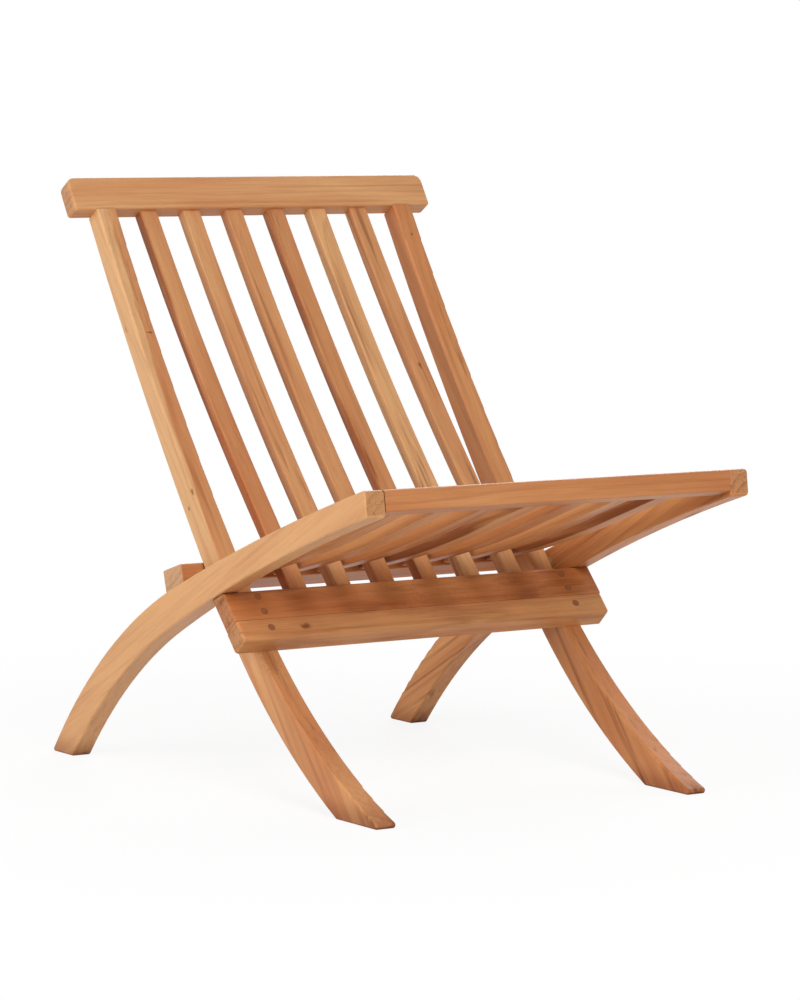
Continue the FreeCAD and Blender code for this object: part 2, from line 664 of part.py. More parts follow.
def back_frame_nodes():
    """The pieces of the back frame, which is also the front legs."""
    upper, lower = crossbar_boards()
    nodes = {
        "top_rail": top_rail(),
        "back_stile_left": placed_stile(1),
        "back_stile_right": placed_stile(-1),
        "front_crossbar_upper": upper,
        "front_crossbar_lower": lower,
        "crossbar_screws": Part.makeCompound(crossbar_screws(-1) + crossbar_screws(1)),
        "crossbar_plugs": Part.makeCompound(crossbar_plugs()),
    }
    slat = back_slat()
    for number, x in enumerate(spread(BACK_SLAT_COUNT), 1):
        nodes["back_slat_" + str(number)] = moved(slat, x)
    return nodes


def seat_frame_nodes():
    """The pieces of the seat frame, which is also the rear legs."""
    nodes = {
        "seat_rail_left": placed_rail(1),
        "seat_rail_right": placed_rail(-1),
        "seat_front_rail": front_rail(),
        "seat_rear_bar": rear_bar(),
        "front_rail_dowels": Part.makeCompound(front_rail_dowels(-1) + front_rail_dowels(1)),
        "rear_bar_screws": Part.makeCompound(rear_bar_screws(-1) + rear_bar_screws(1)),
        "seat_plugs": Part.makeCompound(seat_plugs()),
        "pivot_pin_left": pivot_pin(1),
        "pivot_pin_right": pivot_pin(-1),
        "pivot_spacer_left": pivot_spacer(1),
        "pivot_spacer_right": pivot_spacer(-1),
    }
    slat = seat_slat()
    for number, x in enumerate(spread(BACK_SLAT_COUNT + 1), 1):
        nodes["seat_slat_" + str(number)] = moved(slat, x)
    return nodes


def main():
    """Builds every piece, stands the chair on the floor and writes the files."""
    nodes = {**back_frame_nodes(), **seat_frame_nodes()}
    reach = nodes["seat_rail_left"].optimalBoundingBox(False)
    pivot = V(0, -(reach.YMin + reach.YMax) / 2, PIVOT_HEIGHT)
    print("pivot", round(pivot.y, 3), round(pivot.z, 3))
    os.makedirs("parts", exist_ok=True)
    for name, shape in nodes.items():
        shape.translate(pivot)
        shape.exportStep("parts/" + name + ".step")
        box = shape.optimalBoundingBox(False)
        print(name, shape.isValid(), len(shape.Solids), round(shape.Volume), box)


main()
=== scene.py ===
import math

import bpy
from mathutils import Matrix, Vector


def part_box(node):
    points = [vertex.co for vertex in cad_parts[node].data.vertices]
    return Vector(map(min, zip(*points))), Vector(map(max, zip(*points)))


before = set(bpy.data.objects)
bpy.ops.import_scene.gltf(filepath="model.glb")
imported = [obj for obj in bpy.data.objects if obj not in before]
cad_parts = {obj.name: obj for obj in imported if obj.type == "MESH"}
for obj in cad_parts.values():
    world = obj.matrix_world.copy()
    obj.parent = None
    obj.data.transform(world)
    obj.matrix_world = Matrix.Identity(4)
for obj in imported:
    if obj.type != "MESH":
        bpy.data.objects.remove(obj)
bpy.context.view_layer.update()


def srgb(red, green, blue):
    """A linear colour from screen values of 0 to 255."""
    def linear(value):
        value = value / 255.0
        return value / 12.92 if value <= 0.04045 else ((value + 0.055) / 1.055) ** 2.4
    return (linear(red), linear(green), linear(blue), 1.0)


# Camera, at the photograph's viewing angle
CAMERA_AZIMUTH = -32.801
CAMERA_ELEVATION = 5.407
CAMERA_DISTANCE = 5.2355
CAMERA_TARGET = (0.0006, -0.0274, 0.3602)
CAMERA_LENS = 181.73
SENSOR_WIDTH = 36.0
CLIP_START = 0.1
CLIP_END = 100.0

# Lamps: place, point aimed at, size, watts
LAMP_AIM = (0.0, 0.0, 0.4)
KEY_LIGHT = ((-3.2, 0.2, 1.0), LAMP_AIM, 1.6, 43.0)
FRONT_LIGHT = ((-1.2, -3.4, 2.7), LAMP_AIM, 2.2, 114.0)
BACK_LIGHT = ((3.0, 2.9, 2.4), LAMP_AIM, 2.6, 85.0)

# World: how strongly it lights the object, and what the camera sees of it
WORLD_STRENGTH = 0.30
WORLD_SEEN = 1.0
WHITE = (1.0, 1.0, 1.0, 1.0)

# Floor: half its side, and how pale it is to the light that it throws back and to the camera
FLOOR_HALF_SIZE = 20.0
FLOOR_BOUNCE = 0.80
FLOOR_SEEN = 1.0

# The floor is plain white to the camera far off, and lets the chair's shadow through near it
SHADOW_FLOOR = 0.87
SHADOW_REACH = (0.5, 1.5)

# Directions of the grain: across the chair, and along the pieces in the side view
ACROSS = Vector((1.0, 0.0, 0.0))
BACKWARDS = Vector((0.0, 1.0, 0.0))
STILE_GRAIN = Vector((0.0, 0.640, 0.768))
RAIL_GRAIN = Vector((0.0, 0.886, -0.463))
BACK_SLAT_GRAIN = Vector((0.0, 0.612, 0.791))
SEAT_SLAT_GRAIN = Vector((0.0, 0.955, -0.296))

# Colours of the wood
PALE = srgb(216, 161, 109)
HONEY = srgb(192, 122, 75)
BROWN = srgb(120, 60, 25)
RUST = srgb(166, 92, 42)
SAPWOOD = srgb(226, 181, 131)
CUT_WOOD = srgb(203, 160, 122)
OILED = (0.76, 0.72, 0.70, 1.0)

# Noises of the wood: waves a metre on each axis, octaves of detail, roughness
DRIFT_NOISE = ((2.2, 6.0, 6.0), 1.0)
RIPPLE_NOISE = ((5.0, 30.0, 30.0), 2.0)
CLOUD_NOISE = ((2.6, 20.0, 20.0), 3.0, 0.55)
GRAIN_NOISE = ((6.0, 190.0, 190.0), 4.0, 0.62)
FIBRE_NOISE = ((22.0, 900.0, 900.0), 3.0, 0.6)
PORE_NOISE = ((90.0, 2600.0, 2600.0), 1.0)
STREAK_NOISE = ((2.2, 95.0, 95.0), 2.0)
BAND_NOISE = ((5.0, 60.0, 60.0), 2.0)
STAIN_NOISE = ((8.0, 42.0, 42.0), 3.0, 0.6)
KNOT_NOISE = ((300.0, 300.0, 300.0), 2.0)
SPECK_NOISE = ((650.0, 650.0, 650.0), 2.0)
EDGE_WEAR_AND_SHEEN_NOISE = ((9.0, 50.0, 50.0), 2.0)
SEED_STEP = (7.31, 3.17, 5.53)

# Curves of the wood: (input, level) stops
END_CURVE = [(0.70, 0.0), (0.93, 1.0)]
RING_CURVE = [(0.0, 0.0), (0.40, 0.10), (0.80, 0.60), (0.92, 1.0), (1.0, 0.0)]
PORE_CURVE = [(0.6, 0.0), (0.74, 1.0)]
STREAK_CURVE = [(0.58, 0.0), (0.74, 1.0)]
STAIN_CURVE = [(0.40, 0.0), (0.72, 1.0)]
KNOT_CURVE = [(0.3, 1.0), (1.0, 0.0)]
SPECK_CURVE = [(0.5, 0.0), (0.7, 1.0)]
CORNER_SHADE_CURVE = [(0.15, 1.0), (0.62, 0.0)]
LOW_DARKENING_CURVE = [(0.010, 1.0), (0.040, 0.0)]
EDGE_WEAR_AND_SHEEN_CURVE = [(0.42, 0.0), (0.62, 1.0)]

# Rings: how far the pith wanders, how the rings narrow along the piece, how uneven they are
RING_DRIFT = 0.022
RING_RIPPLE = 0.006
RING_TAPER = 0.012
RING_POWER = 1.6
RING_LEAST = 0.15
RING_ON_ENDS = 0.25

# Slow changes between the honey and the pale wood
CLOUD_SPAN = 2.2
CLOUD_START = 0.62

# A band of another colour along one side: how far its edge wanders, its softness and strength
BAND_WANDER = 0.008
BAND_SOFTNESS = 0.003
BAND_SHARE = 0.85

# How much each detail darkens the wood
GRAIN_MIDDLE = 0.45
GRAIN_SHADE = 0.62
FIBRE_MIDDLE = 0.5
FIBRE_SHADE = 0.36
SPECK_SHADE = 0.35
PORE_SHADE = 0.14
# Painted shade in corners and where pieces meet, and darkening towards the feet
PAINTED_CORNER_SHADE = 0.42
LOW_DARKENING = 0.48

# Knots have a ragged edge, painted shade darkens corners this deep, and the wood is darker round the feet
KNOT_RAGGED = 1.4
KNOT_LEAST = 0.3
CORNER_SHADE_DEPTH = 0.010
CORNER_SHADE_SAMPLES = 6
LOW_DARKENING_RAGGED = 0.016

# Edge wear, which also paints a sheen on some edges and damps the edge highlight on others: width, how fast
# it sets in, and how strong it is
EDGE_WEAR_AND_SHEEN_WIDTH = 0.0022
EDGE_WEAR_AND_SHEEN_GAIN = 1.6
EDGE_WEAR_AND_SHEEN_SHARE = 0.5
BEVEL_SAMPLES = 4

# A board's tone darkens green and blue faster than red, and old cut ends show their shade less
GREEN_POWER = 1.9
BLUE_POWER = 2.7
CUT_SHADE = 0.7

# Sheen and relief of the wood
WOOD_ROUGHNESS = 0.36
CLOUD_ROUGHNESS = 0.16
SHADE_ROUGHNESS = 0.14
END_ROUGHNESS = 0.2
WOOD_SPECULAR = 0.25
BUMP_STRENGTH = 0.25
BUMP_DISTANCE = 0.0004
PORE_RELIEF = -0.6
FIBRE_RELIEF = 0.5
RING_RELIEF = -0.35

# Ends of plugs and dowels, and their dark rims
PLUG_COLOURS = (srgb(142, 84, 45), srgb(168, 104, 62))
DOWEL_COLOURS = (srgb(190, 150, 105), srgb(214, 178, 132))
PLUG_SPECK_NOISE = ((900.0, 900.0, 900.0), 2.0)
PLUG_CLOUD_NOISE = ((160.0, 160.0, 160.0), 2.0)
PLUG_CLOUD_SPAN = 1.6
PLUG_CLOUD_START = 0.4
PLUG_SPECK_CURVE = [(0.52, 0.0), (0.68, 0.5)]
RIM_COLOUR = srgb(66, 34, 15)
RIM_WIDTH = 0.0012
RIM_GAIN = 4.0
PLUG_ROUGHNESS = 0.45
PLUG_SPECK_ROUGHNESS = 0.2

# Metals: colour and roughness
STEEL = ((0.62, 0.61, 0.58, 1.0), 0.28)
BRASS = ((0.40, 0.27, 0.12, 1.0), 0.4)
SCRATCH_NOISE = ((400.0, 400.0, 400.0), 2.0)
SCRATCH_ROUGHNESS = 0.2

# Marks that the photo shows, and painted shadows: point, half width, half length along the grain, strength
STILE_RIGHT_MARKS_AND_SHADOW = [
    ((-0.228, 0.2240, 0.5735), 0.0065, 0.0020, 0.7),
    ((-0.248, 0.0803, 0.3747), 0.0030, 0.0060, 0.7),
    ((-0.248, 0.0883, 0.3521), 0.0026, 0.0045, 0.7),
    ((-0.248, 0.2526, 0.5754), 0.0020, 0.0080, 0.5),
    # A painted shadow of the crossbar on the leg just below it
    ((-0.2387, -0.0977, 0.1752), 0.0140, 0.0320, 0.35),
]
STILE_LEFT_MARKS = [((0.2335, 0.3033, 0.6929), 0.0022, 0.0030, 0.7)]
# Painted soft shadows of the seat slats on the upper crossbar
CROSSBAR_UPPER_SLAT_SHADOWS = [
    ((-0.0319, -0.0683, 0.2437), 0.026, 0.050, 0.22),
    ((0.0292, -0.0784, 0.2330), 0.022, 0.050, 0.20),
    ((0.1575, -0.0742, 0.2374), 0.026, 0.044, 0.22),
]
CROSSBAR_LOWER_MARKS = [((-0.184, -0.0949, 0.2154), 0.0055, 0.011, 0.7)]
BACK_SLAT_MARKS = {6: [((0.1662, 0.1794, 0.5194), 0.0035, 0.0070, 0.7)]}

# Bands along a piece's right side: edge, depth, how the depth grows upwards, colour
STILE_RIGHT_BAND = (-0.0145, 0.004, 0.024, SAPWOOD)
# On the seat slats this dark brown band also paints the shade between the slats under the seat
BROWN_BAND_AND_SHADE = (-0.0135, 0.003, 0.0, BROWN)
RUST_BAND = (-0.0135, 0.003, 0.0, RUST)

# Every board's grain, and what differs from the usual one
# A warmer tint paints the warm shade on the pieces that sit mostly in shade, and on the crossbars also their
# redder wood
WOOD = {
    "top_rail": (ACROSS, dict(tone=1.02, figure=0.20, streak=0.2, pale=0.1, ends=0.6, bleached=0.5)),
    "back_stile_right": (STILE_GRAIN, dict(tone=0.94, rings=0.012, band=STILE_RIGHT_BAND,
                                           marks=STILE_RIGHT_MARKS_AND_SHADOW)),
    "back_stile_left": (STILE_GRAIN, dict(tone=0.92, warm=1.03, rings=0.011, streak=0.4,
                                          marks=STILE_LEFT_MARKS)),
    "front_crossbar_upper": (ACROSS, dict(tone=0.92, warm=1.10, rings=0.011, streak=0.4, stain=0.45,
                                          bleached=0.3, marks=CROSSBAR_UPPER_SLAT_SHADOWS)),
    "front_crossbar_lower": (ACROSS, dict(tone=1.01, warm=1.05, rings=0.011, streak=0.4, stain=0.35,
                                          bleached=0.3, marks=CROSSBAR_LOWER_MARKS)),
    "seat_rail_right": (RAIL_GRAIN, dict(rings=0.014, figure=0.10, streak=0.12, pale=0.5, bleached=0.0)),
    "seat_rail_left": (RAIL_GRAIN, dict(warm=1.08, rings=0.012, figure=0.35, streak=0.5)),
    "seat_front_rail": (ACROSS, dict(tone=0.85, streak=0.25)),
    "seat_rear_bar": (ACROSS, dict(tone=0.84, ends=0.2, bleached=0.95)),
}

# Slats, numbered from the sitter's right: tone, paleness and band of each
SLAT_STREAK = 0.5
# Seat slats take a warmer tint that paints the warm shade under the seat
SEAT_SLAT_SHADE_WARMTH = 1.05
SLAT_PITH = (0.02, 0.03)
SLAT_PITH_STEP = 0.006
BACK_SLATS = ((0.95, 0.0, RUST_BAND), (0.99, 0.1, None), (0.94, 0.0, None),
              (0.91, 0.0, RUST_BAND), (1.01, 0.6, None), (0.97, 0.1, None))
SEAT_SLATS = ((0.94, 0.0, None), (0.96, 0.0, None), (0.90, 0.0, None), (0.97, 0.0, BROWN_BAND_AND_SHADE),
              (0.93, 0.0, None), (0.95, 0.0, None), (0.92, 0.0, BROWN_BAND_AND_SHADE))


def slat_look(number, tone, pale, band, warm=1.0, marks=()):
    pith = (SLAT_PITH[0], SLAT_PITH[1] + SLAT_PITH_STEP * number)
    return dict(tone=tone, warm=warm, pith=pith, streak=SLAT_STREAK, pale=pale, band=band, marks=marks)


for number, slat in enumerate(BACK_SLATS, 1):
    look = slat_look(number, *slat, marks=BACK_SLAT_MARKS.get(number, ()))
    WOOD["back_slat_" + str(number)] = (BACK_SLAT_GRAIN, look)
for number, slat in enumerate(SEAT_SLATS, 1):
    look = slat_look(number, *slat, warm=SEAT_SLAT_SHADE_WARMTH)
    WOOD["seat_slat_" + str(number)] = (SEAT_SLAT_GRAIN, look)


class Tree:
    """Short calls for building a material's nodes."""

    def __init__(self, name):
        self.material = bpy.data.materials.new(name)
        self.material.use_nodes = True
        self.nodes = self.material.node_tree.nodes
        self.links = self.material.node_tree.links
        self.nodes.clear()

    def put(self, socket, value):
        if isinstance(value, bpy.types.NodeSocket):
            self.links.new(value, socket)
        else:
            socket.default_value = value

    def math(self, operation, *terms, clamp=False):
        node = self.nodes.new("ShaderNodeMath")
        node.operation = operation
        node.use_clamp = clamp
        for socket, term in zip(node.inputs, terms):
            self.put(socket, term)
        return node.outputs[0]

    def vector(self, operation, *terms):
        node = self.nodes.new("ShaderNodeVectorMath")
        node.operation = operation
        for socket, term in zip(node.inputs, terms):
            self.put(socket, term)
        return node.outputs["Value" if operation in ("DOT_PRODUCT", "LENGTH") else "Vector"]

    def combine(self, x, y, z):
        node = self.nodes.new("ShaderNodeCombineXYZ")
        for socket, term in zip(node.inputs, (x, y, z)):
            self.put(socket, term)
        return node.outputs[0]

    def noise(self, place, waves, detail, roughness=0.5):
        """Noise of a place, about 0 to 1, with its own number of waves a metre on each axis."""
        node = self.nodes.new("ShaderNodeTexNoise")
        self.put(node.inputs["Vector"], self.vector("MULTIPLY", place, waves))
        node.inputs["Scale"].default_value = 1.0
        node.inputs["Detail"].default_value = detail
        node.inputs["Roughness"].default_value = roughness
        return node.outputs[0]

    def random(self, number):
        """A random level from 0 to 1 for each whole number."""
        node = self.nodes.new("ShaderNodeTexWhiteNoise")
        node.noise_dimensions = "1D"
        self.put(node.inputs["W"], number)
        return node.outputs["Value"]

    def ramp(self, value, stops):
        """A value put through a smooth curve of (position, level) stops."""
        node = self.nodes.new("ShaderNodeValToRGB")
        node.color_ramp.interpolation = "EASE"
        elements = node.color_ramp.elements
        while len(elements) < len(stops):
            elements.new(0.5)
        for element, (position, level) in zip(elements, stops):
            element.position = position
            element.color = (level, level, level, 1.0)
        self.put(node.inputs[0], value)
        return node.outputs[0]

    def mix(self, factor, first, second, blend="MIX"):
        node = self.nodes.new("ShaderNodeMix")
        node.data_type = "RGBA"
        node.blend_type = blend
        self.put(node.inputs["Factor"], factor)
        colours = [s for s in node.inputs if s.type == "RGBA"]
        self.put(colours[0], first)
        self.put(colours[1], second)
        return [s for s in node.outputs if s.type == "RGBA"][0]

    def edge(self, width):
        """How far the surface turns away within a width: 0 on a flat face, more on an edge."""
        normal = self.nodes.new("ShaderNodeNewGeometry").outputs["Normal"]
        bevel = self.nodes.new("ShaderNodeBevel")
        bevel.samples = BEVEL_SAMPLES
        bevel.inputs["Radius"].default_value = width
        return self.math("SUBTRACT", 1.0, self.vector("DOT_PRODUCT", normal, bevel.outputs[0]))

    def finish(self, shader):
        output = self.nodes.new("ShaderNodeOutputMaterial")
        self.links.new(shader, output.inputs["Surface"])
        return self.material


class Board:
    """A piece's own places: along, across and through it, and whether a face cuts the grain."""

    def __init__(self, tree, centre, along, seed):
        side = ACROSS if abs(along.dot(ACROSS)) < 0.5 else BACKWARDS
        up = along.cross(side).normalized()
        side = up.cross(along)
        lookup = tree.nodes.new("ShaderNodeTexCoord")
        self.along = along
        self.place = lookup.outputs["Object"]
        offset = tree.vector("SUBTRACT", self.place, centre)
        self.run = tree.vector("DOT_PRODUCT", offset, along)
        self.left = tree.vector("DOT_PRODUCT", offset, side)
        self.high = tree.vector("DOT_PRODUCT", offset, up)
        shift = tuple(seed * step for step in SEED_STEP)
        self.local = tree.vector("ADD", tree.combine(self.run, self.left, self.high), shift)
        cut = tree.math("ABSOLUTE", tree.vector("DOT_PRODUCT", lookup.outputs["Normal"], along))
        self.end = tree.ramp(cut, END_CURVE)


def ring_lines(tree, board, rings, pith):
    """Year rings round a pith that wanders along the piece, some of them fainter."""
    drift = tree.math("MULTIPLY_ADD", tree.noise(board.local, *DRIFT_NOISE), 2 * RING_DRIFT, -RING_DRIFT)
    ripple = tree.math("MULTIPLY_ADD", tree.noise(board.local, *RIPPLE_NOISE), 2 * RING_RIPPLE, -RING_RIPPLE)
    across = tree.math("ADD", tree.math("SUBTRACT", board.left, pith[0]), drift)
    deep = tree.math("ADD", tree.math("SUBTRACT", board.high, pith[1]), ripple)
    distance = tree.vector("LENGTH", tree.combine(across, deep, 0.0))
    turns = tree.math("DIVIDE", tree.math("MULTIPLY_ADD", board.run, RING_TAPER, distance), rings)
    line = tree.ramp(tree.math("FRACT", turns), RING_CURVE)
    strength = tree.math("POWER", tree.random(tree.math("FLOOR", turns)), RING_POWER)
    return tree.math("MULTIPLY", line, tree.math("MULTIPLY_ADD", strength, 1.0 - RING_LEAST, RING_LEAST))


def add_band(tree, board, colour, band):
    """Another wood along one side of the piece, with a wandering edge; on the seat slats the brown band also
    paints the shade between the slats.
    """
    edge, depth, growth, other = band
    wander = tree.math("MULTIPLY_ADD", tree.noise(board.local, *BAND_NOISE),
                       2 * BAND_WANDER, depth - BAND_WANDER)
    wander = tree.math("MULTIPLY_ADD", board.run, growth, wander)
    reach = tree.math("ABSOLUTE", tree.math("SUBTRACT", board.left, edge))
    inside = tree.math("DIVIDE", tree.math("SUBTRACT", wander, reach), BAND_SOFTNESS, clamp=True)
    return tree.mix(tree.math("MULTIPLY", inside, BAND_SHARE), colour, other)


def add_mark(tree, board, shade, mark_or_shadow):
    """A knot, tick, stain or painted shadow at a point, with a ragged edge."""
    point, width, length, strength = mark_or_shadow
    offset = tree.vector("SUBTRACT", board.place, point)
    lengthwise = tree.math("DIVIDE", tree.vector("DOT_PRODUCT", offset, board.along), length)
    aside = tree.vector("LENGTH", tree.vector("CROSS_PRODUCT", offset, board.along))
    sideways = tree.math("DIVIDE", aside, width)
    ragged = tree.math("MULTIPLY_ADD", tree.noise(board.place, *KNOT_NOISE), KNOT_RAGGED, KNOT_LEAST)
    near = tree.vector("LENGTH", tree.combine(lengthwise, sideways, 0.0))
    near = tree.math("MULTIPLY", near, ragged)
    return tree.math("MULTIPLY_ADD", tree.ramp(near, KNOT_CURVE), strength, shade)


def add_dirt(tree, board, shade, fibre):
    """Painted shade where pieces meet and in corners, from ambient occlusion, and wood that darkens towards
    the feet.
    """
    corner = tree.nodes.new("ShaderNodeAmbientOcclusion")
    corner.samples = CORNER_SHADE_SAMPLES
    corner.inputs["Distance"].default_value = CORNER_SHADE_DEPTH
    # Painted shade: darker where ambient occlusion finds other wood close by
    shade = tree.math("MULTIPLY_ADD", tree.ramp(corner.outputs["AO"], CORNER_SHADE_CURVE), PAINTED_CORNER_SHADE, shade)
    parts = tree.nodes.new("ShaderNodeSeparateXYZ")
    tree.put(parts.inputs[0], board.place)
    # Darker towards the feet, with a ragged top edge
    low = tree.math("MULTIPLY_ADD", fibre, LOW_DARKENING_RAGGED, parts.outputs["Z"])
    return tree.math("MULTIPLY_ADD", tree.ramp(low, LOW_DARKENING_CURVE), LOW_DARKENING, shade, clamp=True)


def teak(name, centre, along, seed, tone=1.0, warm=1.0, rings=0.009, pith=(0.03, 0.05), figure=0.2,
         streak=0.3, stain=0.0, pale=0.0, band=None, ends=1.0, bleached=0.25, marks=()):
    """Oiled teak sawn along a direction, with its rings round a pith beside the piece."""
    tree = Tree(name)
    board = Board(tree, centre, along, seed)

    # Rings, slow changes of tone, soft streaks, fine fibres, pores and a few dark streaks
    line = ring_lines(tree, board, rings, pith)
    cloud = tree.noise(board.local, *CLOUD_NOISE)
    grain = tree.noise(board.local, *GRAIN_NOISE)
    fibre = tree.noise(board.local, *FIBRE_NOISE)
    pores = tree.ramp(tree.noise(board.local, *PORE_NOISE), PORE_CURVE)
    dark = tree.ramp(tree.noise(board.local, *STREAK_NOISE), STREAK_CURVE)
    speck = tree.ramp(tree.noise(board.place, *SPECK_NOISE), SPECK_CURVE)

    light = tree.math("MULTIPLY_ADD", cloud, CLOUD_SPAN, pale - CLOUD_START, clamp=True)
    colour = tree.mix(light, HONEY, PALE)
    if band:
        colour = add_band(tree, board, colour, band)

    # Everything that darkens the wood is summed, and then mixed in as one brown
    shade = tree.math("MULTIPLY", line, tree.math("MULTIPLY_ADD", board.end, RING_ON_ENDS, figure))
    shade = tree.math("MULTIPLY_ADD", dark, streak, shade)
    shade = tree.math("MULTIPLY_ADD", tree.math("SUBTRACT", grain, GRAIN_MIDDLE), GRAIN_SHADE, shade)
    shade = tree.math("MULTIPLY_ADD", tree.math("SUBTRACT", fibre, FIBRE_MIDDLE), FIBRE_SHADE, shade)
    if stain:
        blot = tree.ramp(tree.noise(board.local, *STAIN_NOISE), STAIN_CURVE)
        shade = tree.math("MULTIPLY_ADD", blot, stain, shade)
    # Knots, ticks and stains, and painted shadows
    for mark_or_shadow in marks:
        shade = add_mark(tree, board, shade, mark_or_shadow)
    shade = tree.math("MULTIPLY_ADD", tree.math("MULTIPLY", speck, board.end), SPECK_SHADE, shade)
    shade = tree.math("MULTIPLY_ADD", pores, PORE_SHADE, shade)
    # Painted shade in corners and joints, and darker wood towards the feet
    shade = add_dirt(tree, board, shade, fibre)
    colour = tree.mix(shade, colour, BROWN)

    # Cut ends drink more oil, edges are rubbed paler or darker in patches, which also paints a sheen on
    # edges and damps their highlight, and some cut ends have bleached
    oiled = tree.mix(1.0, colour, OILED, "MULTIPLY")
    colour = tree.mix(tree.math("MULTIPLY", board.end, ends), colour, oiled)
    edge_wear_and_sheen = tree.math("MULTIPLY", tree.edge(EDGE_WEAR_AND_SHEEN_WIDTH), EDGE_WEAR_AND_SHEEN_GAIN, clamp=True)
    pale_or_dark_edge = tree.ramp(tree.noise(board.local, *EDGE_WEAR_AND_SHEEN_NOISE), EDGE_WEAR_AND_SHEEN_CURVE)
    # Edge wear, with a painted highlight where the edge turns paler and painted shade that damps the edge
    # highlight where it turns darker
    colour = tree.mix(tree.math("MULTIPLY", edge_wear_and_sheen, EDGE_WEAR_AND_SHEEN_SHARE), colour, tree.mix(pale_or_dark_edge, BROWN, PALE))
    # The board's tone, and a warmer, deeper tint that paints the warm shade on pieces that sit mostly in
    # shade; on the crossbars it is also their redder wood
    tone_and_shade_tint = (tone * warm, tone ** GREEN_POWER, tone ** BLUE_POWER / warm ** 2, 1.0)
    colour = tree.mix(1.0, colour, tone_and_shade_tint, "MULTIPLY")
    weathered = tree.mix(tree.math("MULTIPLY", shade, CUT_SHADE), CUT_WOOD, BROWN)
    colour = tree.mix(tree.math("MULTIPLY", board.end, bleached), colour, weathered)

    shader = tree.nodes.new("ShaderNodeBsdfPrincipled")
    tree.put(shader.inputs["Base Color"], colour)
    rough = tree.math("MULTIPLY_ADD", cloud, CLOUD_ROUGHNESS, WOOD_ROUGHNESS)
    rough = tree.math("MULTIPLY_ADD", shade, SHADE_ROUGHNESS, rough)
    tree.put(shader.inputs["Roughness"], tree.math("MULTIPLY_ADD", board.end, END_ROUGHNESS, rough))
    shader.inputs["Specular IOR Level"].default_value = WOOD_SPECULAR
    relief = tree.math("MULTIPLY_ADD", pores, PORE_RELIEF, tree.math("MULTIPLY", fibre, FIBRE_RELIEF))
    relief = tree.math("MULTIPLY_ADD", line, RING_RELIEF, relief)
    bump = tree.nodes.new("ShaderNodeBump")
    bump.inputs["Strength"].default_value = BUMP_STRENGTH
    bump.inputs["Distance"].default_value = BUMP_DISTANCE
    tree.put(bump.inputs["Height"], relief)
    tree.links.new(bump.outputs[0], shader.inputs["Normal"])
    return tree.finish(shader.outputs[0])


def metal(name, colour, roughness):
    """Plain drawn metal with faint scratches in its roughness."""
    tree = Tree(name)
    place = tree.nodes.new("ShaderNodeTexCoord").outputs["Object"]
    scratches = tree.noise(place, *SCRATCH_NOISE)
    shader = tree.nodes.new("ShaderNodeBsdfPrincipled")
    shader.inputs["Base Color"].default_value = colour
    shader.inputs["Metallic"].default_value = 1.0
    rough = tree.math("MULTIPLY_ADD", scratches, SCRATCH_ROUGHNESS, roughness)
    tree.put(shader.inputs["Roughness"], rough)
    return tree.finish(shader.outputs[0])


def end_grain(name, dark, light):
    """The ends of small turned plugs and dowels, with a dark glue line round them."""
    tree = Tree(name)
    place = tree.nodes.new("ShaderNodeTexCoord").outputs["Object"]
    speck = tree.noise(place, *PLUG_SPECK_NOISE)
    cloud = tree.noise(place, *PLUG_CLOUD_NOISE)
    share = tree.math("MULTIPLY_ADD", cloud, PLUG_CLOUD_SPAN, -PLUG_CLOUD_START, clamp=True)
    colour = tree.mix(share, dark, light)
    colour = tree.mix(tree.ramp(speck, PLUG_SPECK_CURVE), colour, BROWN)
    rim = tree.math("MULTIPLY", tree.edge(RIM_WIDTH), RIM_GAIN, clamp=True)
    colour = tree.mix(rim, colour, RIM_COLOUR)
    shader = tree.nodes.new("ShaderNodeBsdfPrincipled")
    tree.put(shader.inputs["Base Color"], colour)
    rough = tree.math("MULTIPLY_ADD", speck, PLUG_SPECK_ROUGHNESS, PLUG_ROUGHNESS)
    tree.put(shader.inputs["Roughness"], rough)
    return tree.finish(shader.outputs[0])


def middle(node):
    low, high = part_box(node)
    return (Vector(low) + Vector(high)) / 2


def dress():
    """Gives every CAD node its material."""
    boards = {}
    for seed, (node, (along, look)) in enumerate(sorted(WOOD.items()), 1):
        boards[node] = teak("teak_" + node, middle(node), along.normalized(), seed, **look)
    plugs = end_grain("plug_wood", *PLUG_COLOURS)
    dowels = end_grain("dowel_wood", *DOWEL_COLOURS)
    steel = metal("steel", *STEEL)
    brass = metal("brass", *BRASS)
    small = {"plugs": plugs, "dowels": dowels, "screws": steel, "pivot_pin": steel, "pivot_spacer": brass}
    for node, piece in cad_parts.items():
        if node in boards:
            material = boards[node]
        else:
            material = next(found for word, found in small.items() if word in node)
        for slot in piece.material_slots:
            slot.material = material


def add_camera():
    azimuth = math.radians(CAMERA_AZIMUTH)
    elevation = math.radians(CAMERA_ELEVATION)
    back = Vector((math.sin(azimuth) * math.cos(elevation),
                   -math.cos(azimuth) * math.cos(elevation),
                   math.sin(elevation)))
    right = Vector((math.cos(azimuth), math.sin(azimuth), 0.0))
    up = back.cross(right)
    data = bpy.data.cameras.new("camera")
    data.lens = CAMERA_LENS
    data.sensor_fit = "HORIZONTAL"
    data.sensor_width = SENSOR_WIDTH
    data.clip_start = CLIP_START
    data.clip_end = CLIP_END
    camera = bpy.data.objects.new("camera", data)
    bpy.context.scene.collection.objects.link(camera)
    place = Vector(CAMERA_TARGET) + back * CAMERA_DISTANCE
    turn = Matrix((right, up, back)).transposed().to_4x4()
    camera.matrix_world = Matrix.Translation(place) @ turn
    bpy.context.scene.camera = camera


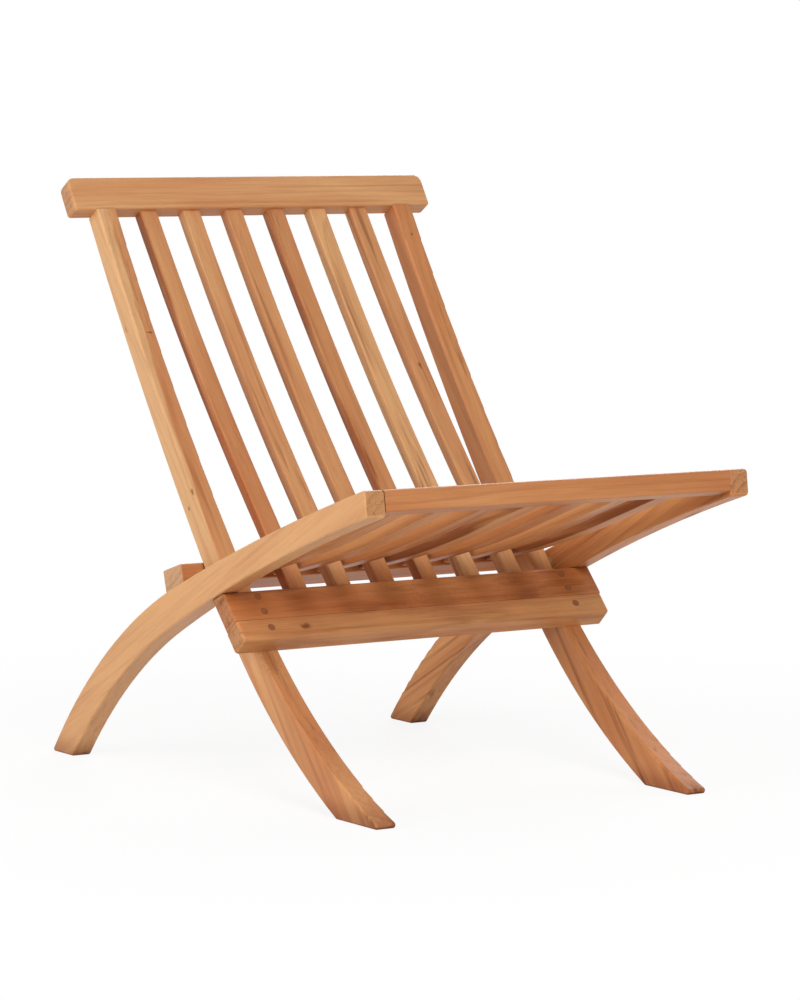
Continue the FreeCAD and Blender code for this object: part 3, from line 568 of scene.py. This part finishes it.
def add_lamp(name, place, aim, size, power):
    data = bpy.data.lights.new(name, "AREA")
    data.shape = "DISK"
    data.size = size
    data.energy = power
    lamp = bpy.data.objects.new(name, data)
    bpy.context.scene.collection.objects.link(lamp)
    lamp.location = place
    lamp.rotation_mode = "QUATERNION"
    lamp.rotation_quaternion = (Vector(aim) - Vector(place)).to_track_quat("-Z", "Y")
    return lamp


def seen_directly(nodes, links):
    """1 for rays from the camera and for those that a gloss or glass turns, and else 0."""
    path = nodes.new("ShaderNodeLightPath")
    seen = path.outputs["Is Camera Ray"]
    for kind in ("Is Glossy Ray", "Is Transmission Ray"):
        either = nodes.new("ShaderNodeMath")
        either.operation = "MAXIMUM"
        links.new(seen, either.inputs[0])
        links.new(path.outputs[kind], either.inputs[1])
        seen = either.outputs[0]
    return seen


def add_floor():
    """A pale floor that the camera sees as white, but for the chair's soft shadow near it."""
    half = FLOOR_HALF_SIZE
    mesh = bpy.data.meshes.new("floor")
    corners = [(-half, -half, 0), (half, -half, 0), (half, half, 0), (-half, half, 0)]
    mesh.from_pydata(corners, [], [(0, 1, 2, 3)])
    floor = bpy.data.objects.new("floor", mesh)
    bpy.context.scene.collection.objects.link(floor)
    tree = Tree("floor")
    diffuse = tree.nodes.new("ShaderNodeBsdfDiffuse")
    glow = tree.nodes.new("ShaderNodeEmission")
    white = tree.nodes.new("ShaderNodeMapRange")
    white.interpolation_type = "SMOOTHSTEP"
    white.inputs["From Min"].default_value = SHADOW_REACH[0]
    white.inputs["From Max"].default_value = SHADOW_REACH[1]
    white.inputs["To Min"].default_value = SHADOW_FLOOR
    white.inputs["To Max"].default_value = 1.0
    place = tree.nodes.new("ShaderNodeTexCoord").outputs["Object"]
    tree.put(white.inputs["Value"], tree.vector("LENGTH", place))
    both = tree.nodes.new("ShaderNodeMixShader")
    seen = seen_directly(tree.nodes, tree.links)
    paleness = tree.math("MULTIPLY_ADD", seen, FLOOR_SEEN - FLOOR_BOUNCE, FLOOR_BOUNCE)
    tree.put(diffuse.inputs["Color"], tree.combine(paleness, paleness, paleness))
    tree.put(both.inputs[0], tree.math("MULTIPLY", seen, white.outputs["Result"]))
    tree.links.new(diffuse.outputs[0], both.inputs[1])
    tree.links.new(glow.outputs[0], both.inputs[2])
    mesh.materials.append(tree.finish(both.outputs[0]))


def add_world():
    """A white world, which lights the object less than the camera sees of it."""
    world = bpy.data.worlds.new("world")
    bpy.context.scene.world = world
    world.use_nodes = True
    nodes, links = world.node_tree.nodes, world.node_tree.links
    level = nodes.new("ShaderNodeMapRange")
    level.inputs["To Min"].default_value = WORLD_STRENGTH
    level.inputs["To Max"].default_value = WORLD_SEEN
    links.new(seen_directly(nodes, links), level.inputs["Value"])
    background = nodes["Background"]
    background.inputs["Color"].default_value = WHITE
    links.new(level.outputs[0], background.inputs["Strength"])


dress()
add_camera()
# Seen by glossy rays, the low key lamp would glare off faces that are seen edge on from the far side
add_lamp("key", *KEY_LIGHT).visible_glossy = False
add_lamp("front", *FRONT_LIGHT)
add_lamp("back", *BACK_LIGHT)
add_floor()
add_world()
bpy.context.scene.view_settings.view_transform = "Standard"
